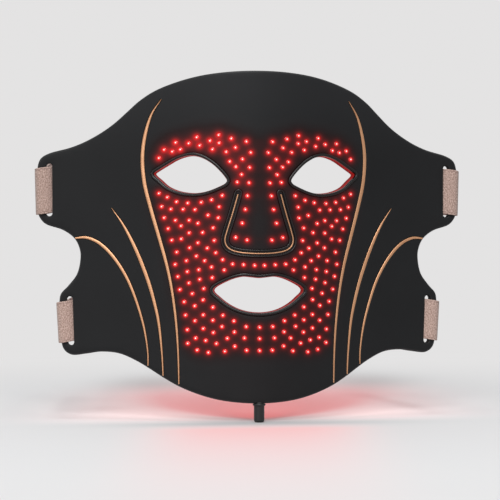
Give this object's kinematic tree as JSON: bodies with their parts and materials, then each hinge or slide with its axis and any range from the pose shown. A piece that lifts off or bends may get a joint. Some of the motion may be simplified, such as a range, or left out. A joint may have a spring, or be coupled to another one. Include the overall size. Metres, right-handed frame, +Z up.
{
  "type": "led face mask",
  "caption": "Flexible light therapy face mask with lit windows, eye and mouth openings, a raised nose rim, copper inlays, a chin socket and elastic head straps.",
  "frame": {"origin": "skin side of the mask over the bridge of the nose, on the line of the eyes", "axes": "+X to the right seen from in front, -Y out of the lit face, +Y towards the wearer, +Z up"},
  "size_m": [0.2364, 0.1878, 0.1862],
  "materials": {
    "shell_silicone": "matte moulded silicone",
    "rim_silicone": "satin moulded silicone",
    "liner_silicone": "soft satin silicone",
    "board_film": "flexible circuit film with lit packages",
    "chip_plastic": "matte moulded",
    "copper": "satin copper",
    "socket_plastic": "satin moulded",
    "socket_steel": "satin",
    "knit_elastic": "knitted elastic",
    "patch_fabric": "hook and loop pile"
  },
  "bodies": {
    "face_panel": {"face_shell": "shell_silicone", "face_liner": "liner_silicone", "light_board": "board_film", "left_driver_chip": "chip_plastic", "right_driver_chip": "chip_plastic", "board_ribbon": "board_film", "left_eye_rim": "rim_silicone", "right_eye_rim": "rim_silicone", "mouth_rim": "rim_silicone", "nose_rim": "rim_silicone", "nose_inlay": "copper", "left_long_inlay": "copper", "left_middle_inlay": "copper", "left_short_inlay": "copper", "right_long_inlay": "copper", "right_middle_inlay": "copper", "right_short_inlay": "copper", "socket_body": "socket_plastic", "socket_insulator": "chip_plastic", "socket_sleeve": "socket_steel", "socket_pin": "copper"},
    "left_wing": {"left_wing_shell": "shell_silicone", "left_wing_liner": "liner_silicone", "left_wing_inlay": "copper"},
    "left_upper_band": {"left_upper_strap": "knit_elastic", "left_upper_hook_patch": "patch_fabric"},
    "left_lower_band": {"left_lower_strap": "knit_elastic", "left_lower_hook_patch": "patch_fabric"},
    "right_wing": {"right_wing_shell": "shell_silicone", "right_wing_liner": "liner_silicone", "right_wing_inlay": "copper"},
    "right_upper_band": {"right_upper_strap": "knit_elastic", "right_upper_loop_patch": "patch_fabric"},
    "right_lower_band": {"right_lower_strap": "knit_elastic", "right_lower_loop_patch": "patch_fabric"}
  },
  "joints": [
    {"name": "left_wing_flex", "type": "hinge", "parent": "face_panel", "child": "left_wing", "pos_m": [-0.08199, 0.02834, -0.04], "axis": [0, 0, -1], "range_deg": [-8, 20], "stiffness_Nm_per_rad": 0.12},
    {"name": "right_wing_flex", "type": "hinge", "parent": "face_panel", "child": "right_wing", "pos_m": [0.08199, 0.02834, -0.04], "axis": [0, 0, 1], "range_deg": [-8, 20], "stiffness_Nm_per_rad": 0.12},
    {"name": "left_upper_strap_swing", "type": "hinge", "parent": "left_wing", "child": "left_upper_band", "pos_m": [-0.11324, 0.03304, -0.00686], "axis": [0, 0, -1], "range_deg": [-75, 15]},
    {"name": "left_lower_strap_swing", "type": "hinge", "parent": "left_wing", "child": "left_lower_band", "pos_m": [-0.10152, 0.03114, -0.07744], "axis": [0.0305, 0, -0.9995], "range_deg": [-75, 15]},
    {"name": "right_upper_strap_swing", "type": "hinge", "parent": "right_wing", "child": "right_upper_band", "pos_m": [0.11324, 0.03304, -0.00686], "axis": [0, 0, 1], "range_deg": [-75, 15]},
    {"name": "right_lower_strap_swing", "type": "hinge", "parent": "right_wing", "child": "right_lower_band", "pos_m": [0.10152, 0.03114, -0.07744], "axis": [0.0305, 0, 0.9995], "range_deg": [-75, 15]}
  ]
}
